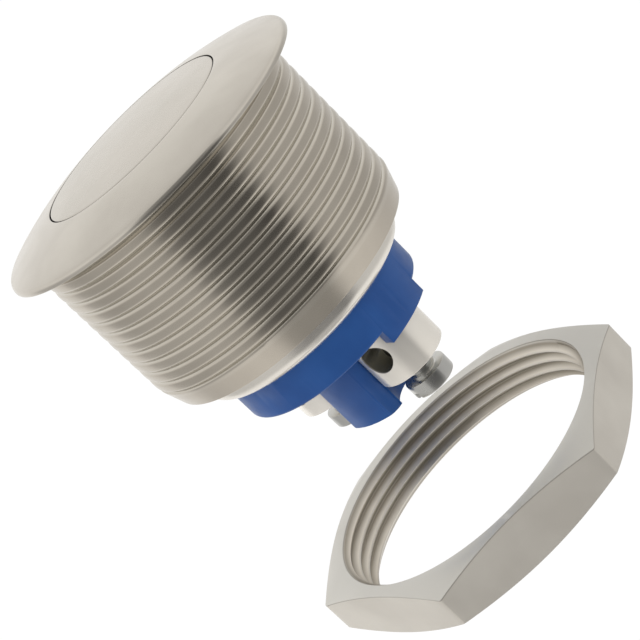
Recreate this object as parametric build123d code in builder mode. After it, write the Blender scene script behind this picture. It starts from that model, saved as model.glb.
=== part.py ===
from build123d import *
import math
import os

# Anti vandal push button: a turned metal housing with a flush domed button,
# a plastic base with two screw terminals, and a hexagon nut behind the panel.
# Millimetres. Z runs along the barrel's axis, out of the front face towards the user.
# The origin is on that axis, at the flange's seat, where it meets the panel.
# The two terminals lie along X, and the wires leave them towards -Y.

# Radii are built up from the axis outwards and depths from the flange's seat rearwards,
# so a change of one size moves all that stands on it.

# Plunger and guide plate
pin_radius = 1.4
pin_overhang = 0.5
running_clearance = 0.06
stem_radius = 1.9
stem_top = 2.2
collar_radius = 2.8
collar_gap = 1.6
collar_thickness = 0.6
guide_boss_radius = 3.6
guide_boss_height = 4.15
guide_thickness = 1.2

# Contacts
contact_spring_length = 3.3
bridge_thickness = 0.6
bridge_width = 2.6
bridge_eye_margin = 1.04
bridge_end_margin = 1.3
clip_radius = 1.8
clip_thickness = 0.4
tip_radius = 0.9
tip_height = 0.5
tip_pin_gap = 0.6
overtravel = 0.5
fixed_tip_height = 0.6
strip_thickness = 0.6
strip_width = 3.4
strip_end_margin = 1.0
strip_chamber_gap = 0.28

# Terminals
rivet_radius = 1.6
rivet_height = 0.5
rivet_tip_gap = 0.62
shank_radius = 1.3
shank_clearance = 0.05
post_radius = 3.75
post_edge_round = 0.2
post_end_wall = 1.675
wire_bore_radius = 1.575
wire_bore_wall = 0.825
wire_bore_turn = 8
screw_radius = 1.45
screw_clearance = 0.05
screw_backed_out = 1.7
screw_tip_gap = 0.1
screw_head_radius = 2.35
screw_head_height = 1.6
screw_slot_width = 0.7
screw_slot_depth = 0.7
screw_slot_angles = {"a": 75, "b": 20}
screw_edge_round = 0.2

# Base moulding
base_margin = 0.83
base_floor = 3.5
base_edge_round = 0.35
base_shoulder_clearance = 0.1
gasket_thickness = 0.5
pad_depth = 1.4
pad_half_angle = 19
post_clearance = 0.1
relief_clearance = 0.425
barrier_half_width = 3.55
barrier_half_length = 4.05
barrier_overhang = 2.65
barrier_round = 1.0

# Housing
lip_clearance = 0.12
lip_overlap = 1.58
lip_ledge = 0.78
lip_thickness = 0.75
lip_round = 0.6
lip_length = 2.45
barrel_straight = 15.9
barrel_end_length = 2.5
barrel_end_step = 2.0
barrel_end_chamfer = 0.75
neck_depth = 0.2
neck_end = 2.1
flange_overhang = 2.4
flange_edge = 0.55
flange_rise = 2.35
flange_mid_share = 0.45
flange_mid_rise = 1.72
flange_edge_round = 0.3

# Button, its seal and its springs
button_shoulder_clearance = 0.3
button_shoulder_overhang = 0.85
button_clearance = 0.1
button_dome = 0.75
button_edge_round = 0.2
shoulder_top = 3.4
shoulder_height = 1.2
stroke = 2.0
stop_gap = 0.05
seal_section = 0.55
seal_depth = 1.9
seal_clearance = 0.05
spring_recess_depth = 2.2
spring_seat_gap = 0.05
spring_wire_sides = 8
return_spring_radius = 6.5
return_spring_wire = 0.4
return_spring_turns = 5
contact_spring_radius = 2.1
contact_spring_wire = 0.22
contact_spring_turns = 4

# Panel nut, shown taken off behind the terminals
nut_bore_clearance = 0.08
nut_wall = 1.87
nut_thickness = 5.4
nut_stand_off = 9.6
nut_corner_angle = 50
nut_chamfer_angle = 21
nut_mouth = 0.5

# Radii and offsets that follow, from the axis outwards
tip_offset = pin_radius + tip_pin_gap + tip_radius
post_offset = tip_offset + tip_radius + rivet_tip_gap + rivet_radius
strip_inner_end = tip_offset - strip_end_margin
strip_outer_end = post_offset + shank_radius + strip_end_margin
contact_chamber_radius = strip_outer_end + strip_chamber_gap
base_radius = post_offset + post_radius + base_margin
relief_radius = wire_bore_radius + relief_clearance
lip_hole_radius = base_radius + lip_clearance
lip_radius = lip_hole_radius + lip_overlap
barrel_end_radius = lip_radius + barrel_end_step
thread_radius = barrel_end_radius + barrel_end_chamfer
flange_radius = thread_radius + flange_overhang
chamber_radius = lip_hole_radius + lip_ledge
base_shoulder_radius = chamber_radius - base_shoulder_clearance
button_shoulder_radius = chamber_radius - button_shoulder_clearance
button_radius = button_shoulder_radius - button_shoulder_overhang
bezel_bore_radius = button_radius + button_clearance
screw_hole_radius = screw_radius + screw_clearance
nut_bore_radius = thread_radius + nut_bore_clearance
nut_across_flats = 2 * (nut_bore_radius + nut_wall)

# Depths that follow, from the flange's seat rearwards
shoulder_bottom = shoulder_top + shoulder_height
guide_boss_front = shoulder_bottom + stroke + stop_gap
guide_front = guide_boss_front + guide_boss_height
guide_rear = guide_front + guide_thickness
collar_front = guide_rear + collar_gap
collar_rear = collar_front + collar_thickness
bridge_front = collar_rear + contact_spring_length
bridge_rear = bridge_front + bridge_thickness
pin_end = bridge_rear + clip_thickness + pin_overhang
fixed_tip_front = bridge_rear + tip_height + stroke - overtravel
strip_front = fixed_tip_front + fixed_tip_height
contact_chamber_floor = strip_front + strip_thickness
base_rear = contact_chamber_floor + base_floor
wire_bore_depth = base_rear + wire_bore_wall + wire_bore_radius
post_rear = wire_bore_depth + wire_bore_radius + post_end_wall
barrier_rear = post_rear + barrier_overhang
barrel_end = barrel_straight + barrel_end_length
lip_end = barrel_end + lip_length
base_shoulder_rear = lip_end - lip_thickness - gasket_thickness
screw_head_front = post_rear + screw_backed_out
screw_head_rear = screw_head_front + screw_head_height
screw_tip = wire_bore_depth + wire_bore_radius + screw_tip_gap
nut_front = screw_head_rear + nut_stand_off
nut_rear = nut_front + nut_thickness
sides = {"a": 1, "b": -1}

os.makedirs("parts", exist_ok=True)


def save(piece, label):
    piece.part.label = label
    export_step(piece.part, f"parts/{label}.step")


def post_place(side, depth):
    return Plane((side * post_offset, 0, -depth))


# Housing: one bar-turned piece. The flange's front is a shallow dome that ends at the
# button's bore. Behind the flange is a short neck, then the barrel at the thread's crest
# size, its chamfered end, and the thin rear lip, which is rolled inwards.
with BuildPart() as housing:
    with BuildSketch(Plane.XZ):
        with BuildLine():
            flange_mid_radius = (
                bezel_bore_radius + (flange_radius - bezel_bore_radius) * flange_mid_share
            )
            outline = Polyline(
                (bezel_bore_radius, flange_rise),
                (bezel_bore_radius, -shoulder_top),
                (chamber_radius, -shoulder_top),
                (chamber_radius, -(lip_end - lip_thickness)),
                (lip_hole_radius, -(lip_end - lip_thickness)),
                (lip_hole_radius, -lip_end),
                (lip_radius, -lip_end),
                (lip_radius, -barrel_end),
                (barrel_end_radius, -barrel_end),
                (thread_radius, -barrel_straight),
                (thread_radius, -neck_end),
                (thread_radius - neck_depth, -neck_end),
                (thread_radius - neck_depth, 0),
                (flange_radius, 0),
                (flange_radius, flange_edge),
            )
            ThreePointArc(
                outline @ 1,
                (flange_mid_radius, flange_mid_rise),
                outline @ 0,
            )
        make_face()
    revolve(axis=Axis.Z)
    rim = housing.edges().filter_by(GeomType.CIRCLE)
    fillet(
        [e for e in rim if abs(e.radius - flange_radius) < 0.01 and e.center().Z > 0.1],
        flange_edge_round,
    )
    fillet(
        [e for e in rim if abs(e.radius - lip_radius) < 0.01 and e.center().Z < -lip_end + 0.01],
        lip_round,
    )
save(housing, "housing")

# Button: a turned slug with a domed face, a groove for its seal, and a wide shoulder at
# its rear that meets the step in the housing. The return spring sits in a ring recess.
with BuildPart() as button:
    seal_groove_floor = button_radius - 2 * seal_section - seal_clearance
    groove_half = seal_section + seal_clearance
    with BuildSketch(Plane.XZ):
        with BuildLine():
            side_line = Polyline(
                (0, flange_rise + button_dome),
                (0, -shoulder_bottom),
                (button_shoulder_radius, -shoulder_bottom),
                (button_shoulder_radius, -shoulder_top),
                (button_radius, -shoulder_top),
                (button_radius, -seal_depth - groove_half),
                (seal_groove_floor, -seal_depth - groove_half),
                (seal_groove_floor, -seal_depth + groove_half),
                (button_radius, -seal_depth + groove_half),
                (button_radius, flange_rise),
            )
            dome_radius = (button_radius**2 + button_dome**2) / (2 * button_dome)
            RadiusArc(side_line @ 1, side_line @ 0, -dome_radius)
        make_face()
    revolve(axis=Axis.Z)
    with BuildSketch(Plane.XY.offset(-shoulder_bottom)):
        Circle(return_spring_radius + 2 * return_spring_wire)
        Circle(return_spring_radius - 2 * return_spring_wire, mode=Mode.SUBTRACT)
    extrude(amount=spring_recess_depth, mode=Mode.SUBTRACT)
    with BuildSketch(Plane.XY.offset(-shoulder_bottom)):
        Circle(stem_radius + running_clearance)
    extrude(amount=shoulder_bottom - stem_top, mode=Mode.SUBTRACT)
    rim = button.edges().filter_by(GeomType.CIRCLE)
    fillet(
        [e for e in rim if abs(e.radius - button_radius) < 0.01 and e.center().Z > 0.1],
        button_edge_round,
    )
save(button, "button")

# Seal: a rubber ring in the button's groove, which wipes the housing's bore.
with BuildPart() as button_seal:
    with BuildSketch(Plane.XZ):
        with Locations((button_radius - seal_section, -seal_depth)):
            Circle(seal_section)
    revolve(axis=Axis.Z)
save(button_seal, "button_seal")

# Plunger: a moulded stem pressed into the button. Its collar carries the contact spring,
# and the thin pin below it carries the bridge.
with BuildPart() as plunger:
    with BuildSketch(Plane.XZ):
        with BuildLine():
            Polyline(
                (0, -stem_top),
                (stem_radius, -stem_top),
                (stem_radius, -collar_front),
                (collar_radius, -collar_front),
                (collar_radius, -collar_rear),
                (pin_radius, -collar_rear),
                (pin_radius, -pin_end),
                (0, -pin_end),
                close=True,
            )
        make_face()
    revolve(axis=Axis.Z)
save(plunger, "plunger")


def coil_spring(radius, wire, front, rear, turns):
    """A plain coil between two seats, given as depths behind the flange's seat."""
    height = rear - front - 2 * wire - 2 * spring_seat_gap
    start = -(rear - wire - spring_seat_gap)
    with BuildPart() as spring:
        with BuildLine() as coil:
            Helix(pitch=height / turns, height=height, radius=radius, center=(0, 0, start))
        with BuildSketch(Plane(origin=coil.line @ 0, z_dir=coil.line % 0)):
            RegularPolygon(wire, spring_wire_sides)
        sweep(is_frenet=True)
    return spring


# Return spring: stands on the guide plate and reaches into the button's ring recess.
return_spring = coil_spring(
    return_spring_radius,
    return_spring_wire,
    shoulder_bottom - spring_recess_depth,
    guide_front,
    return_spring_turns,
)
save(return_spring, "return_spring")

# Contact spring: between the plunger's collar and the bridge.
contact_spring = coil_spring(
    contact_spring_radius,
    contact_spring_wire,
    collar_rear,
    bridge_front,
    contact_spring_turns,
)
save(contact_spring, "contact_spring")

# Guide plate: closes the contact chamber. Its boss guides the stem and stops the stroke.
with BuildPart() as guide_plate:
    with BuildSketch(Plane.XY.offset(-guide_rear)):
        Circle(base_shoulder_radius)
    extrude(amount=guide_thickness)
    with BuildSketch(Plane.XY.offset(-guide_front)):
        Circle(guide_boss_radius)
    extrude(amount=guide_front - guide_boss_front)
    with BuildSketch(Plane.XY.offset(-guide_rear)):
        Circle(stem_radius + running_clearance)
    extrude(amount=guide_rear - guide_boss_front, mode=Mode.SUBTRACT)
save(guide_plate, "guide_plate")

# Contact bridge: a stamped strip with a round eye that slides on the plunger's pin.
with BuildPart() as contact_bridge:
    with BuildSketch(Plane.XY.offset(-bridge_rear)):
        SlotOverall(2 * (tip_offset + bridge_end_margin), bridge_width)
        Circle(pin_radius + running_clearance + bridge_eye_margin)
        Circle(pin_radius + running_clearance, mode=Mode.SUBTRACT)
    extrude(amount=bridge_thickness)
save(contact_bridge, "contact_bridge")

# Clip: a small ring that keeps the bridge on the pin.
with BuildPart() as bridge_clip:
    with BuildSketch(Plane.XY.offset(-bridge_rear - clip_thickness)):
        Circle(clip_radius)
        Circle(pin_radius + running_clearance / 2, mode=Mode.SUBTRACT)
    extrude(amount=clip_thickness)
save(bridge_clip, "bridge_clip")

# Gasket: a flat ring squeezed between the rolled lip and the base's shoulder.
with BuildPart() as base_gasket:
    with BuildSketch(Plane.XY.offset(-base_shoulder_rear - gasket_thickness)):
        Circle(base_shoulder_radius)
        Circle(lip_hole_radius, mode=Mode.SUBTRACT)
    extrude(amount=gasket_thickness)
save(base_gasket, "base_gasket")

# Base: one moulding. A cup with a shoulder inside the barrel, a round plug that shows
# behind it, two low walls that cradle the terminals, and the barrier between them.
with BuildPart() as base:
    with BuildSketch(Plane.XY.offset(-base_shoulder_rear)):
        Circle(base_shoulder_radius)
    extrude(amount=base_shoulder_rear - guide_rear)
    with BuildSketch(Plane.XY.offset(-base_rear)):
        Circle(base_radius)
    extrude(amount=base_rear - base_shoulder_rear)
    with BuildSketch(Plane.XY.offset(-contact_chamber_floor)):
        Circle(contact_chamber_radius)
    extrude(amount=contact_chamber_floor - guide_rear, mode=Mode.SUBTRACT)
    rim = base.edges().filter_by(GeomType.CIRCLE)
    fillet(
        [e for e in rim if abs(e.radius - base_radius) < 0.01 and e.center().Z < 0.1 - base_rear],
        base_edge_round,
    )
    with BuildSketch(Plane.XY.offset(-base_rear - pad_depth)):
        for side in sides.values():
            wide = 2 * base_radius
            reach = math.tan(math.radians(pad_half_angle)) * wide
            with BuildLine():
                Polyline((0, 0), (side * wide, reach), (side * wide, -reach), close=True)
            make_face()
        Circle(base_radius, mode=Mode.INTERSECT)
        with Locations((post_offset, 0), (-post_offset, 0)):
            Circle(post_radius + post_clearance, mode=Mode.SUBTRACT)
        Circle(post_offset, mode=Mode.SUBTRACT)
    extrude(amount=pad_depth + base_edge_round)
    with BuildSketch(Plane.XY.offset(-barrier_rear)):
        RectangleRounded(2 * barrier_half_width, 2 * barrier_half_length, barrier_round)
        with Locations((post_offset, 0), (-post_offset, 0)):
            Circle(post_radius + post_clearance, mode=Mode.SUBTRACT)
    extrude(amount=barrier_rear - base_rear)
    for side in sides.values():
        turn = math.radians(-90 + side * wire_bore_turn)
        way = (math.cos(turn), math.sin(turn), 0)
        start = (side * post_offset, 0, -wire_bore_depth)
        with BuildSketch(Plane(origin=start, z_dir=way)):
            Circle(relief_radius)
        extrude(amount=2 * base_radius, mode=Mode.SUBTRACT)
        with BuildSketch(post_place(side, base_rear)):
            Circle(shank_radius + shank_clearance)
        extrude(amount=base_rear - contact_chamber_floor, mode=Mode.SUBTRACT)
save(base, "base")

# Terminal posts: turned pillars. The thin shank passes through the base's floor and is
# riveted over the contact strip, and the clamp screw's hole meets the wire bore.
for name, side in sides.items():
    with BuildPart() as post:
        with BuildSketch(post_place(side, post_rear)):
            Circle(post_radius)
        extrude(amount=post_rear - base_rear)
        fillet(post.edges().group_by(Axis.Z)[0], post_edge_round)
        with BuildSketch(post_place(side, base_rear)):
            Circle(shank_radius)
        extrude(amount=base_rear - strip_front)
        with BuildSketch(post_place(side, strip_front)):
            Circle(rivet_radius)
        extrude(amount=rivet_height)
        turn = math.radians(-90 + side * wire_bore_turn)
        way = (math.cos(turn), math.sin(turn), 0)
        start = (side * post_offset, 0, -wire_bore_depth)
        with BuildSketch(Plane(origin=start, z_dir=way)):
            Circle(wire_bore_radius)
        extrude(amount=2 * post_radius, both=True, mode=Mode.SUBTRACT)
        with BuildSketch(post_place(side, post_rear)):
            Circle(screw_hole_radius)
        extrude(amount=post_rear - wire_bore_depth, mode=Mode.SUBTRACT)
    save(post, f"terminal_post_{name}")

    with BuildPart() as screw:
        with BuildSketch(post_place(side, screw_head_front)):
            Circle(screw_radius)
        extrude(amount=screw_head_front - screw_tip)
        with BuildSketch(post_place(side, screw_head_rear)):
            Circle(screw_head_radius)
        extrude(amount=screw_head_height)
        fillet(screw.edges().group_by(Axis.Z)[0], screw_edge_round)
        with BuildSketch(post_place(side, screw_head_rear)):
            slot_angle = screw_slot_angles[name]
            Rectangle(3 * screw_head_radius, screw_slot_width, rotation=slot_angle)
        extrude(amount=screw_slot_depth, mode=Mode.SUBTRACT)
    save(screw, f"terminal_screw_{name}")

    with BuildPart() as strip:
        with BuildSketch(Plane.XY.offset(-contact_chamber_floor)):
            middle = side * (strip_outer_end + strip_inner_end) / 2
            with Locations((middle, 0)):
                RectangleRounded(strip_outer_end - strip_inner_end, strip_width, strip_width / 4)
            with Locations((side * post_offset, 0)):
                Circle(shank_radius + shank_clearance, mode=Mode.SUBTRACT)
        extrude(amount=strip_thickness)
    save(strip, f"fixed_contact_{name}")

    with BuildPart() as fixed_tip:
        with BuildSketch(Plane((side * tip_offset, 0, -strip_front))):
            Circle(tip_radius)
        extrude(amount=strip_front - fixed_tip_front)
    save(fixed_tip, f"fixed_tip_{name}")

    with BuildPart() as bridge_tip:
        with BuildSketch(Plane((side * tip_offset, 0, -bridge_rear - tip_height))):
            Circle(tip_radius)
        extrude(amount=tip_height)
    save(bridge_tip, f"bridge_tip_{name}")

# Panel nut: a hexagon, its corners turned off on both faces at a shallow angle.
# Its bore stands clear of the barrel's crests by a running clearance.
with BuildPart() as panel_nut:
    corner_radius = nut_across_flats / 2 / math.cos(math.radians(30))
    with BuildSketch(Plane.XY.offset(-nut_rear)):
        RegularPolygon(corner_radius, 6, rotation=nut_corner_angle)
    extrude(amount=nut_thickness)
    with BuildSketch(Plane.XZ):
        with BuildLine():
            flat_radius = nut_across_flats / 2
            overshoot = corner_radius - flat_radius + nut_mouth
            slope = math.tan(math.radians(nut_chamfer_angle))
            Polyline(
                (0, -nut_front),
                (flat_radius, -nut_front),
                (flat_radius + overshoot, -nut_front - overshoot * slope),
                (flat_radius + overshoot, -nut_rear + overshoot * slope),
                (flat_radius, -nut_rear),
                (0, -nut_rear),
                close=True,
            )
        make_face()
    revolve(axis=Axis.Z, mode=Mode.INTERSECT)
    with BuildSketch(Plane.XY.offset(-nut_rear)):
        Circle(nut_bore_radius)
    extrude(amount=nut_thickness, mode=Mode.SUBTRACT)
    mouths = panel_nut.edges().filter_by(GeomType.CIRCLE)
    chamfer([e for e in mouths if abs(e.radius - nut_bore_radius) < 0.01], nut_mouth)
save(panel_nut, "panel_nut")
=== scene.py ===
import bmesh
import bpy
import math
from mathutils import Matrix, Vector


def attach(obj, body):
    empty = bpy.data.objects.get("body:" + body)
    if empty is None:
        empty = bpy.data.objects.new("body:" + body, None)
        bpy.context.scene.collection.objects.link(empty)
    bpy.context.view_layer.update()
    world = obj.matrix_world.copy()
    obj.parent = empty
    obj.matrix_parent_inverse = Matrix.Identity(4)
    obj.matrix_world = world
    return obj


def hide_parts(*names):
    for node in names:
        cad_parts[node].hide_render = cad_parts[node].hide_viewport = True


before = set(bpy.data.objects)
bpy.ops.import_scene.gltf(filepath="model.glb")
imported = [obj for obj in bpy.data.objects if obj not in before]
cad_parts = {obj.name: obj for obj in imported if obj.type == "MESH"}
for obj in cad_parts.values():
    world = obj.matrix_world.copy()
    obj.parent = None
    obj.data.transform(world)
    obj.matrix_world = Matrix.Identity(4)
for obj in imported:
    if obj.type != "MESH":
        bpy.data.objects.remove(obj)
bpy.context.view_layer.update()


# Housing
# One bar-turned brass piece, nickel plated to a satin shine. The flange's domed front and
# the thread behind it are cut in one clamping, which leaves fine turning marks round the
# axis. The rear lip is rolled in over the plastic base.
mm = 0.001
thread_pitch = 1.36
crest_radius = 15.05
root_radius = 14.76
crest_rounding = ((0, 0), (0.005, 0.25), (0.03, 0.38), (0.09, 0.50), (0.19, 0.60))
groove_at = -8.79
crests_ahead = 8
barrel_turns = 15
neck_radius = 14.85
neck_end = -0.6
thread_run_out = 0.5
barrel_straight = -15.9
barrel_end = -18.4
barrel_end_radius = 14.3
lip_radius = 12.3
lip_end = -20.85
lip_inside = -20.1
lip_hole_radius = 10.72
lip_rounding = 1.2
lip_hole_rounding = 0.1
chamber_radius = 11.5
chamber_join_front = -11
chamber_join_rear = -13
flange_radius = 17.45
flange_edge = 0.55
flange_rounding = 0.36
seat_rounding = 0.05
turned_rounding = 0.08
bezel_bore_radius = 10.45
bezel_shoulder = -3.4
dome_centre_radius = 4.761
dome_centre_height = -34.285
dome_radius = 37.074
dome_rings = (16.6, 15.7, 14.8, 13.9, 13.0, 12.1, 11.3, 10.8, bezel_bore_radius)
turn_steps = 144
rim_margin = 0.005
edge_margin = 0.002
barrel_shade_tint = (0.87, 0.85, 0.82, 1)
groove_highlight_tone = (0.60, 0.57, 0.51, 1)
lip_highlight_tone = (0.83, 0.795, 0.735, 1)
lip_metal = 0.78
gap_shade_tone = (0.10, 0.09, 0.08, 1)


def add(tree, kind, inputs=None, **settings):
    """Adds a shader node. An input is a plain value, or another node's output to join."""
    node = tree.nodes.new(kind)
    for name, value in settings.items():
        setattr(node, name, value)
    for name, value in (inputs or {}).items():
        if isinstance(value, bpy.types.NodeSocket):
            tree.links.new(value, node.inputs[name])
        else:
            node.inputs[name].default_value = value
    return node


def new_finish(name):
    """A blank finish: its node tree, its shader and its object coordinates."""
    finish = bpy.data.materials.new(name)
    finish.use_nodes = True
    tree = finish.node_tree
    shader = tree.nodes["Principled BSDF"]
    place = add(tree, "ShaderNodeTexCoord").outputs["Object"]
    return finish, tree, shader, place


def mottle(tree, place, scale, low, high):
    """Soft cloudy changes between two colours, as plating and mouldings have."""
    cloud = add(tree, "ShaderNodeTexNoise", {"Vector": place, "Scale": scale, "Detail": 3.0})
    ramp = add(tree, "ShaderNodeValToRGB", {"Fac": cloud.outputs["Fac"]})
    ramp.color_ramp.elements[0].position = 0.35
    ramp.color_ramp.elements[1].position = 0.65
    ramp.color_ramp.elements[0].color = (*low, 1)
    ramp.color_ramp.elements[1].color = (*high, 1)
    return ramp.outputs["Color"]


def spread(tree, value, from_low, from_high, to_low, to_high):
    """Moves a value from one range to another."""
    inputs = {"Value": value, "From Min": from_low, "From Max": from_high}
    inputs.update({"To Min": to_low, "To Max": to_high})
    return add(tree, "ShaderNodeMapRange", inputs).outputs["Result"]


def mask(tree, value, off, on):
    """A mask that is 0 at one size in millimetres and 1 at another."""
    return spread(tree, value, off * mm, on * mm, 0.0, 1.0)


def product(tree, first, second):
    """Multiplies two values."""
    node = add(tree, "ShaderNodeMath", {0: first, 1: second}, operation="MULTIPLY")
    return node.outputs[0]


def blend(tree, share, first, second, how="MIX"):
    """Blends two colours by a share, or multiplies them."""
    inputs = {"Factor": share, "A": first, "B": second}
    node = add(tree, "ShaderNodeMix", inputs, data_type="RGBA", blend_type=how)
    return node.outputs[2]


def ring_place(tree, place, centre=(0, 0, 0)):
    """Distance from a turned piece's own axis, and height along it, for its tool marks."""
    moved = add(tree, "ShaderNodeVectorMath", {0: place, 1: centre}, operation="SUBTRACT")
    parts = add(tree, "ShaderNodeSeparateXYZ", {"Vector": moved.outputs["Vector"]})
    flat = add(tree, "ShaderNodeCombineXYZ", {"X": parts.outputs["X"], "Y": parts.outputs["Y"]})
    reach = add(tree, "ShaderNodeVectorMath", {0: flat.outputs["Vector"]}, operation="LENGTH")
    reach, height = reach.outputs["Value"], parts.outputs["Z"]
    rings = add(tree, "ShaderNodeCombineXYZ", {"X": reach, "Z": height})
    return rings.outputs["Vector"], reach, height


def nickel(name, low, high, polish, centre=(0, 0, 0), marks=0.12):
    """Satin nickel on turned brass: cloudy tone, uneven polish and fine rings."""
    finish, tree, shader, place = new_finish(name)
    rings, reach, height = ring_place(tree, place, centre)
    tone = mottle(tree, place, 140.0, low, high)
    scratches = add(tree, "ShaderNodeTexNoise", {"Vector": rings, "Scale": 7000.0, "Detail": 2.0})
    haze = add(tree, "ShaderNodeTexNoise", {"Vector": place, "Scale": 320.0, "Detail": 4.0})
    polish_low, polish_high = polish
    shader.inputs["Metallic"].default_value = 1.0
    roughness = spread(tree, haze.outputs["Fac"], 0.3, 0.7, polish_low, polish_high)
    tree.links.new(tone, shader.inputs["Base Color"])
    tree.links.new(roughness, shader.inputs["Roughness"])
    heights = {"Height": scratches.outputs["Fac"], "Strength": marks, "Distance": 0.004 * mm}
    bump = add(tree, "ShaderNodeBump", heights)
    tree.links.new(bump.outputs["Normal"], shader.inputs["Normal"])
    return finish, tree, shader, reach, height, tone


def wind(bm, outline, pitch, turns, steps):
    """Winds a one-pitch outline of (radius, height) points into a right-handed thread."""
    line = [bm.verts.new((radius * mm, 0, height * mm)) for radius, height in outline]
    edges = [bm.edges.new(pair) for pair in zip(line, line[1:])]
    bmesh.ops.spin(
        bm,
        geom=line + edges,
        cent=(0, 0, 0),
        axis=(0, 0, 1),
        dvec=(0, 0, pitch * mm / steps),
        angle=turns * 2 * math.pi,
        steps=turns * steps,
        use_merge=False,
    )
    bmesh.ops.remove_doubles(bm, verts=bm.verts, dist=0.001 * mm)


def part_off(bm, top, bottom):
    """Cuts a wound tube square at its two ends."""
    for height, way in ((top, 1), (bottom, -1)):
        bmesh.ops.bisect_plane(
            bm,
            geom=bm.verts[:] + bm.edges[:] + bm.faces[:],
            dist=0.0001 * mm,
            plane_co=(0, 0, height * mm),
            plane_no=(0, 0, way),
            clear_outer=True,
        )


def open_rim(bm, height):
    """The open ring of edges at a height."""
    rims = [e for e in bm.edges if e.is_boundary]
    return [e for e in rims if all(abs(v.co.z / mm - height) < rim_margin for v in e.verts)]


def pull(bm, ring, outline):
    """Pulls a ring of edges along (radius, height) points, as the lathe tool moves."""
    for radius, height in outline:
        grown = bmesh.ops.extrude_edge_only(bm, edges=ring)["geom"]
        fresh = {v for v in grown if isinstance(v, bmesh.types.BMVert)}
        for v in fresh:
            v.co.xy = v.co.xy.normalized() * radius * mm
            v.co.z = height * mm
        edges = [e for e in grown if isinstance(e, bmesh.types.BMEdge)]
        ring = [e for e in edges if set(e.verts) <= fresh]
    return ring


def turned_edge(bm, radius, height):
    """The ring of edges at a radius and a height, to be rounded."""
    there = {
        v
        for v in bm.verts
        if abs(v.co.z / mm - height) < edge_margin
        and abs(v.co.xy.length / mm - radius) < edge_margin
    }
    return [e for e in bm.edges if set(e.verts) <= there]


def round_edges(bm, edges, size, segments):
    """Rounds edges as a radiused tool or a worn mould leaves them."""
    bmesh.ops.bevel(
        bm,
        geom=edges,
        offset=size * mm,
        offset_type="OFFSET",
        segments=segments,
        profile=0.5,
        affect="EDGES",
        material=-1,
        clamp_overlap=True,
    )


def stand(name, bm):
    """Puts a finished shape in the scene as an object."""
    mesh = bpy.data.meshes.new(name)
    bm.to_mesh(mesh)
    bm.free()
    piece = bpy.data.objects.new(name, mesh)
    bpy.context.scene.collection.objects.link(piece)
    return piece


def fit(name, bm, finish, body, node, smooth_to=30):
    """Makes a finished shape a piece of the switch that stands for its solid."""
    bmesh.ops.remove_doubles(bm, verts=bm.verts, dist=0.0005 * mm)
    bmesh.ops.recalc_face_normals(bm, faces=bm.faces)
    piece = stand(name, bm)
    piece.data.shade_smooth()
    piece.data.set_sharp_from_angle(angle=math.radians(smooth_to))
    piece.data.materials.append(finish)
    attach(piece, body)
    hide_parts(node)
    return piece


def dome_height(radius):
    """Height of the flange's shallow dome at a radius."""
    return dome_centre_height + math.sqrt(dome_radius**2 - (radius - dome_centre_radius) ** 2)


housing_mesh = bmesh.new()
half = thread_pitch / 2
first_crest = groove_at + half - crests_ahead * thread_pitch
# From the middle of a crest to the middle of the root behind it, and back up.
crest_line = [(crest_radius - drop, -depth) for drop, depth in crest_rounding]
crest_line.append((root_radius, -half))
far_side = [(radius, -thread_pitch - height) for radius, height in reversed(crest_line[:-1])]
thread_line = [(radius, first_crest + height) for radius, height in crest_line + far_side]
wind(housing_mesh, thread_line, thread_pitch, barrel_turns, turn_steps)
part_off(housing_mesh, neck_end, barrel_end)
for v in housing_mesh.verts:
    depth = v.co.z / mm
    reach = v.co.xy.length / mm
    fade = (neck_end - depth) / thread_run_out
    if fade < 1:
        reach = max(reach, neck_radius - (neck_radius - root_radius) * fade)
    share = (barrel_straight - depth) / (barrel_straight - barrel_end)
    if share > 0:
        reach = min(reach, crest_radius - (crest_radius - barrel_end_radius) * share)
    v.co.xy = v.co.xy.normalized() * reach * mm

front_line = [
    (neck_radius, neck_end),
    (neck_radius, 0),
    (flange_radius, 0),
    (flange_radius, flange_edge),
    *((radius, dome_height(radius)) for radius in dome_rings),
    (bezel_bore_radius, bezel_shoulder),
    (chamber_radius, bezel_shoulder),
    (chamber_radius, chamber_join_front),
]
rear_line = [
    (lip_radius, barrel_end),
    (lip_radius, lip_end),
    (lip_hole_radius, lip_end),
    (lip_hole_radius, lip_inside),
    (chamber_radius, lip_inside),
    (chamber_radius, chamber_join_rear),
]
front = pull(housing_mesh, open_rim(housing_mesh, neck_end), front_line)
rear = pull(housing_mesh, open_rim(housing_mesh, barrel_end), rear_line)
bmesh.ops.bridge_loops(housing_mesh, edges=front + rear)
for radius, height, size, segments in (
    (flange_radius, flange_edge, flange_rounding, 5),
    (flange_radius, 0, seat_rounding, 2),
    (bezel_bore_radius, dome_height(bezel_bore_radius), turned_rounding, 3),
    (lip_radius, lip_end, lip_rounding, 10),
    (lip_hole_radius, lip_end, lip_hole_rounding, 3),
    (barrel_end_radius, barrel_end, turned_rounding, 2),
):
    round_edges(housing_mesh, turned_edge(housing_mesh, radius, height), size, segments)

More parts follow.
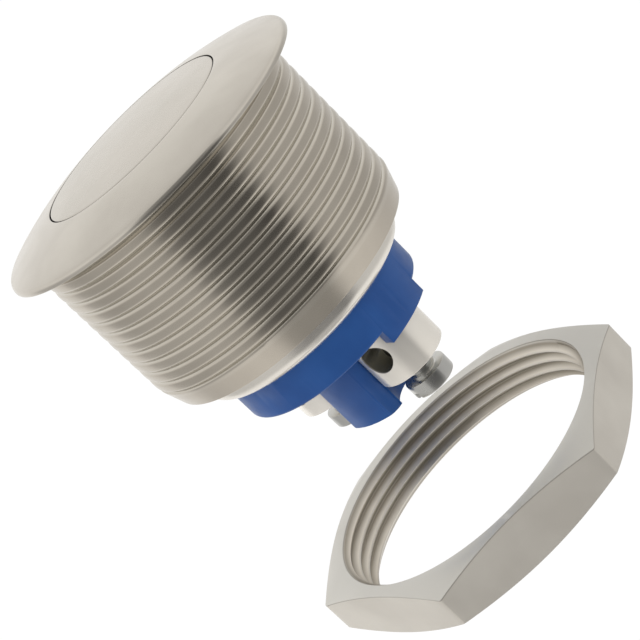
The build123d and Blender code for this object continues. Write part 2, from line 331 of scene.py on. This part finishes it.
plate, tree, shader, reach, height, tone = nickel(
    "satin_nickel_on_brass",
    low=(0.57, 0.535, 0.48),
    high=(0.63, 0.595, 0.535),
    polish=(0.17, 0.25),
)
# Painted shade: the threaded barrel's plating is tinted darker than the flange's, though both are
# one plating.
on_barrel = mask(tree, height, 0.0, -0.2)
barrel_shading = blend(tree, on_barrel, (1, 1, 1, 1), barrel_shade_tint)
tone = blend(tree, 1.0, tone, barrel_shading, "MULTIPLY")
# Painted light: the thread's roots, from the neck's end to the straight barrel's end, are painted
# lighter than the crests, to lift the shade deep in the grooves.
in_groove = mask(tree, reach, root_radius + 0.25, root_radius + 0.1)
behind_flange = mask(tree, height, neck_end, neck_end - 0.1)
before_lip = mask(tree, height, barrel_straight - 0.8, barrel_straight)
painted_groove_light = product(tree, product(tree, in_groove, behind_flange), before_lip)
tone = blend(tree, painted_groove_light, tone, groove_highlight_tone)
# Painted highlight: the rolled lip is painted much lighter and made less metallic than the
# barrel, though it is the same plating.
on_lip = mask(tree, height, barrel_end - 0.2, barrel_end - 0.5)
tone = blend(tree, on_lip, tone, lip_highlight_tone)
tree.links.new(spread(tree, on_lip, 0, 1, 1.0, lip_metal), shader.inputs["Metallic"])
# Painted shade: the wall of the bezel's bore, in the narrow gap round the button, is painted near
# black.
in_gap = mask(tree, reach, bezel_bore_radius + 0.05, bezel_bore_radius + 0.02)
tree.links.new(blend(tree, in_gap, tone, gap_shade_tone), shader.inputs["Base Color"])
fit("housing_shell", housing_mesh, plate, "switch", "housing")


# Button
# A turned brass slug with a shallow domed face, plated with the housing. Its groove holds a
# rubber ring, its wide rear shoulder stops it in the housing, and the ring recess behind
# takes the return spring.
button_radius = 10.35
button_edge_height = 2.35
button_apex = 3.1
button_shoulder_radius = 11.2
button_rear = -4.6
button_rounding = 0.14
face_rings = (0, 1.5, 3, 4.5, 6, 7.5, 9, 10.0)
seal_groove_radius = 9.2
seal_groove_front = -1.3
seal_groove_rear = -2.5
recess_outer = 7.3
recess_inner = 5.7
recess_depth = 2.2
stem_hole_radius = 1.96
stem_hole_front = -2.2


def turn(outline, steps):
    """Turns an outline of (radius, height) points round the axis into a closed body."""
    bm = bmesh.new()
    line = [bm.verts.new((radius * mm, 0, height * mm)) for radius, height in outline]
    edges = [bm.edges.new(pair) for pair in zip(line, line[1:])]
    bmesh.ops.spin(
        bm,
        geom=line + edges,
        cent=(0, 0, 0),
        axis=(0, 0, 1),
        angle=2 * math.pi,
        steps=steps,
        use_merge=True,
    )
    bmesh.ops.remove_doubles(bm, verts=bm.verts, dist=0.0005 * mm)
    return bm


button_dome = button_apex - button_edge_height
button_ball = (button_radius**2 + button_dome**2) / (2 * button_dome)
face_line = []
for radius in face_rings:
    drop = button_ball - math.sqrt(button_ball**2 - radius**2)
    face_line.append((radius, button_apex - drop))
button_mesh = turn(
    face_line
    + [
        (button_radius, button_edge_height),
        (button_radius, seal_groove_front),
        (seal_groove_radius, seal_groove_front),
        (seal_groove_radius, seal_groove_rear),
        (button_radius, seal_groove_rear),
        (button_radius, bezel_shoulder),
        (button_shoulder_radius, bezel_shoulder),
        (button_shoulder_radius, button_rear),
        (recess_outer, button_rear),
        (recess_outer, button_rear + recess_depth),
        (recess_inner, button_rear + recess_depth),
        (recess_inner, button_rear),
        (stem_hole_radius, button_rear),
        (stem_hole_radius, stem_hole_front),
        (0, stem_hole_front),
    ],
    turn_steps,
)
face_edge = turned_edge(button_mesh, button_radius, button_edge_height)
round_edges(button_mesh, face_edge, button_rounding, 4)
button_plate, tree, shader, reach, height, tone = nickel(
    "button_nickel_face",
    low=(0.585, 0.555, 0.50),
    high=(0.635, 0.60, 0.545),
    polish=(0.24, 0.3),
    marks=0.08,
)
# Painted shade: the button's side, in the narrow gap inside the bezel's bore, is painted near
# black.
in_gap = mask(tree, reach, button_radius - 0.05, button_radius - 0.02)
tree.links.new(blend(tree, in_gap, tone, gap_shade_tone), shader.inputs["Base Color"])
fit("button_slug", button_mesh, button_plate, "button", "button")


# Rubber rings
# Two black rubber rings keep water out: one in the button's groove, one flat under the
# rolled lip. Both come from a press mould and stay slightly dusty.
rubber, tree, shader, place = new_finish("black_rubber")
dust = mottle(tree, place, 900.0, (0.012, 0.012, 0.012), (0.03, 0.029, 0.028))
tree.links.new(dust, shader.inputs["Base Color"])
shader.inputs["Roughness"].default_value = 0.72
grain = add(tree, "ShaderNodeTexNoise", {"Vector": place, "Scale": 6000.0, "Detail": 2.0})
heights = {"Height": grain.outputs["Fac"], "Strength": 0.3, "Distance": 0.01 * mm}
bump = add(tree, "ShaderNodeBump", heights)
tree.links.new(bump.outputs["Normal"], shader.inputs["Normal"])


def refinish(finish, *nodes):
    """Gives a solid that stays as it is its real finish."""
    for name in nodes:
        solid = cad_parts[name]
        solid.data.materials.clear()
        solid.data.materials.append(finish)


refinish(rubber, "button_seal", "base_gasket")


# Plunger and guide plate
# The stem is a white moulding pressed into the button. The guide plate that closes the
# contact chamber is black moulded plastic with a faint sparkle from its mould.
def moulding(name, low, high, polish):
    """Moulded plastic: nearly even colour, a faint grain and an uneven gloss."""
    finish, tree, shader, place = new_finish(name)
    tone = mottle(tree, place, 260.0, low, high)
    tree.links.new(tone, shader.inputs["Base Color"])
    haze = add(tree, "ShaderNodeTexNoise", {"Vector": place, "Scale": 500.0, "Detail": 3.0})
    polish_low, polish_high = polish
    roughness = spread(tree, haze.outputs["Fac"], 0.3, 0.7, polish_low, polish_high)
    tree.links.new(roughness, shader.inputs["Roughness"])
    skin = add(tree, "ShaderNodeTexNoise", {"Vector": place, "Scale": 2500.0, "Detail": 2.0})
    heights = {"Height": skin.outputs["Fac"], "Strength": 0.25, "Distance": 0.006 * mm}
    bump = add(tree, "ShaderNodeBump", heights)
    tree.links.new(bump.outputs["Normal"], shader.inputs["Normal"])
    return finish


white_stem = moulding(
    "white_stem", low=(0.66, 0.65, 0.61), high=(0.72, 0.71, 0.67), polish=(0.35, 0.45)
)
black_plate = moulding(
    "black_plate", low=(0.012, 0.012, 0.013), high=(0.022, 0.022, 0.024), polish=(0.35, 0.5)
)
refinish(white_stem, "plunger")
refinish(black_plate, "guide_plate")


# Springs and clip
# Stainless spring wire, drawn hard and coiled cold. The retaining clip is stamped from
# strip of the same steel, and grips the stem under the contact bridge.
steel, tree, shader, place = new_finish("spring_steel_wire")
wire_tone = mottle(tree, place, 800.0, (0.34, 0.34, 0.35), (0.46, 0.46, 0.47))
tree.links.new(wire_tone, shader.inputs["Base Color"])
shader.inputs["Metallic"].default_value = 1.0
shader.inputs["Roughness"].default_value = 0.28
refinish(steel, "return_spring", "contact_spring", "bridge_clip")


# Contacts
# Brass strips stamped from sheet, with silver tips riveted on. The silver has gone a
# little dull, and the brass shows the sheet's rolling marks.
brass, tree, shader, place = new_finish("rolled_brass")
rolled = add(tree, "ShaderNodeMapping", {"Vector": place, "Scale": (1.0, 12.0, 1.0)})
brass_tone = mottle(tree, rolled.outputs["Vector"], 600.0, (0.60, 0.40, 0.14), (0.72, 0.50, 0.20))
tree.links.new(brass_tone, shader.inputs["Base Color"])
shader.inputs["Metallic"].default_value = 1.0
shader.inputs["Roughness"].default_value = 0.3
refinish(brass, "contact_bridge", "fixed_contact_a", "fixed_contact_b")

silver, tree, shader, place = new_finish("dull_silver")
silver_tone = mottle(tree, place, 1500.0, (0.62, 0.61, 0.57), (0.80, 0.79, 0.76))
tree.links.new(silver_tone, shader.inputs["Base Color"])
shader.inputs["Metallic"].default_value = 1.0
shader.inputs["Roughness"].default_value = 0.35
refinish(silver, "fixed_tip_a", "fixed_tip_b", "bridge_tip_a", "bridge_tip_b")


# Base
# One blue moulding: a round plug in the lip, low walls round the terminals and a tall
# barrier between them. The mould's edges are softly rounded, and its ejected faces shine.
blue = moulding(
    "blue_moulding", low=(0.010, 0.075, 0.290), high=(0.014, 0.092, 0.335), polish=(0.34, 0.46)
)
blue.node_tree.nodes["Principled BSDF"].inputs["Specular IOR Level"].default_value = 0.35


def solid_copy(node):
    """A clean, merged copy of a solid, to be given its soft edges."""
    bm = bmesh.new()
    bm.from_mesh(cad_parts[node].data)
    bmesh.ops.remove_doubles(bm, verts=bm.verts, dist=0.001 * mm)
    bmesh.ops.dissolve_limit(
        bm, angle_limit=math.radians(1), verts=bm.verts[:], edges=bm.edges[:]
    )
    return bm


base_rear = -24.8
barrier_half_width = 3.55
barrier_reach = 4.2
barrier_corner_start = 3.0
barrier_bow = 0.8
barrier_draw_in = 0.3
barrier_cuts = range(-3, 4)
mould_rounding = 0.1

base_mesh = solid_copy("base")
barrier_front = (base_rear + 0.01) * mm
for cut_at in barrier_cuts:
    wall = [
        f
        for f in base_mesh.faces
        if all(
            v.co.z < barrier_front
            and abs(v.co.x) < (barrier_half_width + 0.05) * mm
            and abs(v.co.y) < barrier_reach * mm
            for v in f.verts
        )
    ]
    around = {v for f in wall for v in f.verts} | {e for f in wall for e in f.edges}
    bmesh.ops.bisect_plane(
        base_mesh,
        geom=wall + list(around),
        dist=0.0001 * mm,
        plane_co=(cut_at * mm, 0, 0),
        plane_no=(1, 0, 0),
    )
for v in base_mesh.verts:
    across = abs(v.co.x) / mm / barrier_half_width
    along = abs(v.co.y) / mm
    in_bow = across < 1.01 and barrier_corner_start < along < barrier_reach
    if v.co.z < barrier_front and in_bow:
        along += barrier_bow * (1 - across**2) - barrier_draw_in
        v.co.y = math.copysign(along * mm, v.co.y)
sharp = [
    e
    for e in base_mesh.edges
    if e.is_manifold
    and e.calc_face_angle() > math.radians(50)
    and e.calc_length() > 0.3 * mm
    and all(v.co.z < (base_rear + 0.5) * mm for v in e.verts)
]
round_edges(base_mesh, sharp, mould_rounding, 2)
fit("base_moulding", base_mesh, blue, "switch", "base", smooth_to=40)


# Terminal posts
# Turned brass pillars, nickel plated brighter than the housing. A cross hole takes the
# wire, the clamp screw's hole meets it from the rear, and a thin shank is riveted inside.
post_offset = 6.02
post_radius = 3.75
post_rear = -30.45
wire_hole_radius = 1.575
wire_hole_height = -27.2
wire_hole_turn = 8
shank_radius = 1.3
rivet_radius = 1.6
rivet_front = -20.2
rivet_rear = -20.7
screw_hole_radius = 1.5
screw_hole_rounding = 0.12
post_rounding = 0.09
post_steps = 128
drill_length = 12
post_metal = 0.6
hole_shade_tone = (0.30, 0.285, 0.23, 1)
ways = {"a": 1, "b": -1}


def bore(piece, cutter):
    """Cuts one piece with another, which is then thrown away."""
    cut = piece.modifiers.new("cut", "BOOLEAN")
    cut.object = cutter
    cut.solver = "EXACT"
    shown = piece.evaluated_get(bpy.context.evaluated_depsgraph_get())
    mesh = bpy.data.meshes.new_from_object(shown)
    piece.modifiers.clear()
    piece.data = mesh
    bpy.data.objects.remove(cutter)


def drill(radius, length, centre, way):
    """A round cutter from a point along a direction."""
    bm = bmesh.new()
    turned = Vector((0, 0, 1)).rotation_difference(Vector(way)).to_matrix().to_4x4()
    bmesh.ops.create_cone(
        bm,
        cap_ends=True,
        segments=64,
        radius1=radius * mm,
        radius2=radius * mm,
        depth=length * mm,
        matrix=Matrix.Translation(Vector(centre) * mm) @ turned,
    )
    return stand("drill", bm)


for name, way in ways.items():
    post_mesh = turn(
        [
            (0, rivet_front),
            (rivet_radius, rivet_front),
            (rivet_radius, rivet_rear),
            (shank_radius, rivet_rear),
            (shank_radius, base_rear),
            (post_radius, base_rear),
            (post_radius, post_rear),
            (screw_hole_radius, post_rear),
            (screw_hole_radius, wire_hole_height),
            (0, wire_hole_height),
        ],
        post_steps,
    )
    round_edges(post_mesh, turned_edge(post_mesh, post_radius, post_rear), post_rounding, 3)
    hole_edge = turned_edge(post_mesh, screw_hole_radius, post_rear)
    round_edges(post_mesh, hole_edge, screw_hole_rounding, 2)
    post_at = Vector((way * post_offset, 0, 0)) * mm
    bmesh.ops.translate(post_mesh, vec=post_at, verts=post_mesh.verts)
    post_plate, tree, shader, reach, height, tone = nickel(
        f"bright_nickel_post_{name}",
        low=(0.94, 0.895, 0.82),
        high=(0.98, 0.94, 0.87),
        polish=(0.20, 0.27),
        centre=post_at,
        marks=0.06,
    )
    shader.inputs["Metallic"].default_value = post_metal
    # Painted shade: the insides of the wire hole and the clamp screw's hole are painted dark.
    inside = mask(tree, reach, post_radius - 0.05, post_radius - 0.2)
    before_rear = mask(tree, height, post_rear + 0.1, post_rear + 0.3)
    in_hole = product(tree, inside, before_rear)
    tree.links.new(blend(tree, in_hole, tone, hole_shade_tone), shader.inputs["Base Color"])
    post = fit(
        f"post_pillar_{name}",
        post_mesh,
        post_plate,
        "switch",
        f"terminal_post_{name}",
    )
    wire_turn = math.radians(-90 + way * wire_hole_turn)
    wire_way = (math.cos(wire_turn), math.sin(wire_turn), 0)
    middle = (way * post_offset, 0, wire_hole_height)
    bore(post, drill(wire_hole_radius, drill_length, middle, wire_way))
    post.data.set_sharp_from_angle(angle=math.radians(30))


# Clamp screws
# Zinc-plated steel screws with slotted cheese heads and a metric thread, shown backed out
# as they are supplied. The slot is milled, and the thread is rolled.
screw_pitch = 0.5
screw_crest = 1.45
screw_root = 1.16
screw_crest_flat = 0.03
screw_turns = 10
screw_steps = 48
screw_tip = -28.875
screw_tip_radius = 1.05
screw_dimple_radius = 0.4
neck_length = 0.7
neck_fillet = 0.3
head_front = -32.17
head_rear = -33.75
head_radius = 2.35
head_centre_radius = 0.2
head_rounding = 0.2
head_front_rounding = 0.06
slot_width = 0.7
slot_depth = 0.7
slot_angles = {"a": 75, "b": 20}

for name, way in ways.items():
    screw_mesh = bmesh.new()
    start = head_front - neck_length
    middle = start - screw_pitch / 2
    end = start - screw_pitch
    screw_line = [
        (screw_crest, start),
        (screw_crest, start - screw_crest_flat),
        (screw_root, middle + screw_crest_flat),
        (screw_root, middle - screw_crest_flat),
        (screw_crest, end + screw_crest_flat),
        (screw_crest, end),
    ]
    wind(screw_mesh, screw_line, screw_pitch, screw_turns, screw_steps)
    part_off(screw_mesh, screw_tip, head_front)
    for v in screw_mesh.verts:
        from_tip = screw_tip - v.co.z / mm
        reach = min(v.co.xy.length / mm, screw_tip_radius + from_tip)
        from_head = v.co.z / mm - head_front
        if from_head < neck_fillet:
            reach = max(reach, screw_crest - from_head)
        v.co.xy = v.co.xy.normalized() * reach * mm
    tip_line = [(screw_dimple_radius, screw_tip)]
    head_line = [
        (head_radius, head_front),
        (head_radius, head_rear),
        (head_centre_radius, head_rear),
    ]
    for end_at, outline in ((screw_tip, tip_line), (head_front, head_line)):
        ring = pull(screw_mesh, open_rim(screw_mesh, end_at), outline)
        bmesh.ops.holes_fill(screw_mesh, edges=ring)
    round_edges(screw_mesh, turned_edge(screw_mesh, head_radius, head_rear), head_rounding, 4)
    front_edge = turned_edge(screw_mesh, head_radius, head_front)
    round_edges(screw_mesh, front_edge, head_front_rounding, 2)
    screw_at = Vector((way * post_offset, 0, 0)) * mm
    bmesh.ops.translate(screw_mesh, vec=screw_at, verts=screw_mesh.verts)
    zinc = nickel(
        f"zinc_screw_{name}",
        low=(0.52, 0.52, 0.505),
        high=(0.68, 0.68, 0.66),
        polish=(0.24, 0.34),
        centre=screw_at,
        marks=0.1,
    )[0]
    screw = fit(
        f"clamp_screw_{name}",
        screw_mesh,
        zinc,
        f"screw_{name}",
        f"terminal_screw_{name}",
    )
    slot_mesh = bmesh.new()
    milled = Matrix.Translation(screw_at + Vector((0, 0, head_rear * mm)))
    milled = milled @ Matrix.Rotation(math.radians(slot_angles[name]), 4, "Z")
    slot_size = Vector((3 * head_radius, slot_width, 2 * slot_depth)) * mm
    bmesh.ops.create_cube(slot_mesh, size=1, matrix=milled @ Matrix.Diagonal((*slot_size, 1)))
    bore(screw, stand("slot_cutter", slot_mesh))
    screw.data.set_sharp_from_angle(angle=math.radians(30))


# Panel nut
# A hexagon parted off from nickel-plated brass bar and tapped to the barrel's thread.
# Its corners are turned off on both faces, and the bore is countersunk at both mouths.
nut_front = -43.35
nut_rear = -48.75
nut_bore_radius = 15.13
nut_mouth = 0.5
nut_mouth_radius = nut_bore_radius + nut_mouth
nut_flat = 17.0
nut_corner_turn = 50
nut_corner_radius = nut_flat / math.cos(math.radians(30))
nut_corner_rounding = 0.15
nut_chamfer = math.tan(math.radians(21))
ridge_tip_radius = 14.87
ridge_tip_half = 0.03
ridge_foot_radius = 15.45
ridge_foot_half = 0.6
nut_ridges = 8
ridges_behind = 2
nut_travel = 41.35
nut_edge_tone = (0.20, 0.18, 0.15, 1)
nut_edge_share = 0.55
nut_face_shade_tone = (0.62, 0.60, 0.55, 1)
nut_crest_highlight_tone = (0.74, 0.69, 0.61, 1)
nut_root_shade_tone = (0.36, 0.325, 0.27, 1)
nut_face_metal = 0.35
nut_bore_metal = 0.85


def hexagon_reach(v):
    """Distance from the axis to the hexagon's side, in the direction of a point."""
    turned = math.degrees(math.atan2(v.co.y, v.co.x)) - nut_corner_turn
    return nut_flat / math.cos(math.radians(turned % 60 - 30))


nut_mesh = bmesh.new()
turns_in = round((nut_rear + nut_travel - groove_at) / thread_pitch) - ridges_behind
first_ridge = groove_at - nut_travel + turns_in * thread_pitch
ridge_line = [
    (ridge_foot_radius, half),
    (ridge_foot_radius, ridge_foot_half),
    (ridge_tip_radius, ridge_tip_half),
    (ridge_tip_radius, -ridge_tip_half),
    (ridge_foot_radius, -ridge_foot_half),
    (ridge_foot_radius, -half),
]
ridge_line = [(radius, first_ridge + height) for radius, height in ridge_line]
wind(nut_mesh, ridge_line, thread_pitch, nut_ridges, turn_steps)
thread_front = nut_front - nut_mouth
thread_rear = nut_rear + nut_mouth
part_off(nut_mesh, thread_front, thread_rear)
for v in nut_mesh.verts:
    from_end = min(thread_front - v.co.z / mm, v.co.z / mm - thread_rear)
    reach = max(v.co.xy.length / mm, nut_bore_radius - max(from_end, 0))
    v.co.xy = v.co.xy.normalized() * reach * mm

ring = open_rim(nut_mesh, thread_front)
rear_rim = open_rim(nut_mesh, thread_rear)
ring = pull(nut_mesh, ring, [(nut_mouth_radius, nut_front), (nut_flat, nut_front)])
for face, way in ((nut_front, -1), (nut_rear, 1)):
    ring = pull(nut_mesh, ring, [(nut_flat, face)])
    for v in {v for e in ring for v in e.verts}:
        corner = hexagon_reach(v)
        v.co.xy = v.co.xy.normalized() * corner * mm
        v.co.z = (face + way * (corner - nut_flat) * nut_chamfer) * mm
ring = pull(nut_mesh, ring, [(nut_flat, nut_rear), (nut_mouth_radius, nut_rear)])
bmesh.ops.bridge_loops(nut_mesh, edges=ring + rear_rim)

for corner in range(6):
    bearing = math.radians(nut_corner_turn + 60 * corner)
    at = Vector((math.cos(bearing), math.sin(bearing))) * nut_corner_radius * mm
    there = {v for v in nut_mesh.verts if (v.co.xy - at).length < 0.01 * mm}
    corner_edges = [e for e in nut_mesh.edges if set(e.verts) <= there]
    round_edges(nut_mesh, corner_edges, nut_corner_rounding, 2)

nut_plate, tree, shader, reach, height, tone = nickel(
    "satin_nickel_nut",
    low=(0.63, 0.59, 0.525),
    high=(0.70, 0.66, 0.59),
    polish=(0.30, 0.40),
)
# The corners' cones count as part of the front face: a point's height plus the cone's drop.
past_flat = add(tree, "ShaderNodeMath", {0: reach, 1: nut_flat * mm}, operation="SUBTRACT")
past_flat = add(tree, "ShaderNodeMath", {0: past_flat.outputs[0], 1: 0.0}, operation="MAXIMUM")
drop_and_height = {0: past_flat.outputs[0], 1: nut_chamfer, 2: height}
level = add(tree, "ShaderNodeMath", drop_and_height, operation="MULTIPLY_ADD").outputs[0]
near_face = mask(tree, level, nut_front - 0.16, nut_front - 0.10)
tone = blend(tree, product(tree, near_face, nut_edge_share), tone, nut_edge_tone)
# Painted shading: the front face and its corner cones get their own, slightly darker tone than
# the flats, though all are one plating.
on_face = mask(tree, level, nut_front - 0.04, nut_front - 0.01)
tone = blend(tree, on_face, tone, nut_face_shade_tone)
past_tip = mask(tree, reach, ridge_tip_radius, ridge_tip_radius + 0.12)
below_mouth = mask(tree, reach, ridge_foot_radius + 0.1, ridge_foot_radius + 0.02)
in_bore = product(tree, past_tip, below_mouth)
bore_metal = spread(tree, in_bore, 0, 1, nut_face_metal, nut_bore_metal)
tree.links.new(bore_metal, shader.inputs["Metallic"])
# Painted light and shade: the nut thread's crests are painted lighter and its roots darker.
in_root = mask(tree, reach, ridge_tip_radius + 0.15, ridge_foot_radius - 0.05)
thread_light_and_shade = blend(tree, in_root, nut_crest_highlight_tone, nut_root_shade_tone)
tree.links.new(blend(tree, in_bore, tone, thread_light_and_shade), shader.inputs["Base Color"])
fit("hexagon_nut", nut_mesh, nut_plate, "nut", "panel_nut")


# Floor, studio and camera
# A wide pale floor well below the switch, a soft white studio that is darker on the
# camera's side, two soft lamps, and the photograph's own view.
floor_half_width = 3
floor_depth = 0.16
floor_glow = 1.03
floor_glow_share = 0.96
studio_white = (1, 0.985, 0.96)
diffuse_light = (0.62, 0.62, 0.62, 1)
towards_camera = (0.79, -0.61, 0.0)
camera_right = (0.61, 0.79, 0.0)
look_at = Vector((0.0, 0.0, -22.0)) * mm
camera_place = (0.151624, -0.117126, 0.041497)
camera_turn = (64.6027, 42.7842, 34.2848)

floor_mesh = bmesh.new()
bmesh.ops.create_grid(floor_mesh, x_segments=2, y_segments=2, size=floor_half_width)
bmesh.ops.translate(floor_mesh, vec=(0, 0, -floor_depth), verts=floor_mesh.verts)
floor = stand("studio_floor", floor_mesh)
floor.visible_glossy = False
paper, tree, shader, place = new_finish("pale_paper")
shader.inputs["Roughness"].default_value = 0.9
paper_tone = mottle(tree, place, 30.0, (0.90, 0.90, 0.90), (0.92, 0.92, 0.92))
tree.links.new(paper_tone, shader.inputs["Base Color"])
rays = add(tree, "ShaderNodeLightPath")
glow = add(tree, "ShaderNodeEmission", {"Color": (1, 1, 1, 1), "Strength": floor_glow})
seen = spread(tree, rays.outputs["Is Camera Ray"], 0.0, 1.0, 0.0, floor_glow_share)
lit_floor = add(
    tree, "ShaderNodeMixShader", {0: seen, 1: shader.outputs[0], 2: glow.outputs[0]}
)
tree.links.new(lit_floor.outputs[0], tree.nodes["Material Output"].inputs["Surface"])
floor.data.materials.append(paper)

world = bpy.data.worlds.new("soft_studio")
bpy.context.scene.world = world
world.use_nodes = True
tree = world.node_tree
direction = add(tree, "ShaderNodeTexCoord").outputs["Generated"]


def part_along(way):
    """How far a direction in the studio points along a way."""
    inputs = {0: direction, 1: way}
    return add(tree, "ShaderNodeVectorMath", inputs, operation="DOT_PRODUCT").outputs["Value"]


def studio_band(value, from_low, from_high, stops):
    """A run of studio light levels, each at its place: (place, level)."""
    share = spread(tree, value, from_low, from_high, 0, 1)
    band = add(tree, "ShaderNodeValToRGB", {"Fac": share})
    ramp = band.color_ramp
    while len(ramp.elements) < len(stops):
        ramp.elements.new(0.5)
    for element, (at, level) in zip(ramp.elements, stops):
        element.position = (at - from_low) / (from_high - from_low)
        element.color = (*(level * part for part in studio_white), 1)
    return band.outputs["Color"]


sides = {0: part_along(camera_right), 1: part_along(towards_camera)}
bearing = add(tree, "ShaderNodeMath", sides, operation="ARCTAN2").outputs[0]
degrees = add(tree, "ShaderNodeMath", {0: bearing}, operation="DEGREES").outputs[0]
left_wall = [(-180, 1.0), (-134, 1.0), (-124, 0.64), (-110, 0.57), (-56, 0.64), (-42, 0.55)]
behind_camera = [(-32, 0.28), (-16, 0.15), (8, 0.15), (32, 0.09)]
right_wall = [(47, 0.57), (60, 0.60), (120, 0.61), (140, 0.74), (155, 0.76)]
far_wall = [(172, 0.95), (180, 1.0)]
levels = left_wall + behind_camera + right_wall + far_wall
around = studio_band(degrees, -180, 180, levels)
rise = add(tree, "ShaderNodeSeparateXYZ", {"Vector": direction}).outputs["Z"]
above = studio_band(rise, -1, 1, [(-1, 0.97), (0.40, 0.97), (0.85, 0.79), (1, 0.77)])
camera_sector = [(-180, 0.0), (-46, 0.0), (-30, 1.0), (30, 1.0), (46, 0.0), (180, 0.0)]
below_zenith = spread(tree, rise, 0.8, 0.95, 1.0, 0.0)
camera_side = product(tree, studio_band(degrees, -180, 180, camera_sector), below_zenith)
overhead = spread(tree, rise, 0.05, 0.35, 0.0, 1.0)
overhead = product(tree, overhead, spread(tree, camera_side, 0.0, 1.0, 1.0, 0.15))
underneath = spread(tree, rise, -0.45, -0.70, 0.0, 1.0)
underneath = product(tree, underneath, spread(tree, camera_side, 0.0, 1.0, 1.0, 0.35))
either = {0: overhead, 1: underneath}
above_or_below = add(tree, "ShaderNodeMath", either, operation="MAXIMUM").outputs[0]
studio = blend(tree, above_or_below, around, above)
rays = add(tree, "ShaderNodeLightPath").outputs
bounced = {0: rays["Is Glossy Ray"], 1: rays["Is Transmission Ray"]}
mirrored = add(tree, "ShaderNodeMath", bounced, operation="MAXIMUM").outputs[0]
lit = blend(tree, mirrored, diffuse_light, studio)
shown = blend(tree, rays["Is Camera Ray"], lit, (1, 1, 1, 1))
tree.links.new(shown, tree.nodes["Background"].inputs["Color"])
tree.nodes["Background"].inputs["Strength"].default_value = 1.0

for lamp_name, way, away, size, power in (
    ("key_lamp", (-0.55, -0.55, 0.75), 0.6, 0.5, 1.7),
    ("fill_lamp", (0.9, -0.2, 0.3), 0.7, 0.6, 0.6),
):
    lamp_data = bpy.data.lights.new(lamp_name, "AREA")
    lamp_data.shape = "DISK"
    lamp_data.size = size
    lamp_data.energy = power
    lamp = bpy.data.objects.new(lamp_name, lamp_data)
    lamp.location = look_at + Vector(way).normalized() * away
    lamp.rotation_euler = Vector(way).to_track_quat("Z", "Y").to_euler()
    lamp.visible_glossy = False
    bpy.context.scene.collection.objects.link(lamp)

camera_data = bpy.data.cameras.new("camera")
camera_data.lens = 119.79
camera_data.sensor_width = 36
camera_data.shift_x = 0.0063
camera_data.shift_y = -0.0142
camera_data.clip_start = 0.01
camera = bpy.data.objects.new("camera", camera_data)
camera.location = camera_place
camera.rotation_euler = [math.radians(angle) for angle in camera_turn]
bpy.context.scene.collection.objects.link(camera)
bpy.context.scene.camera = camera
bpy.context.scene.view_settings.view_transform = "Standard"
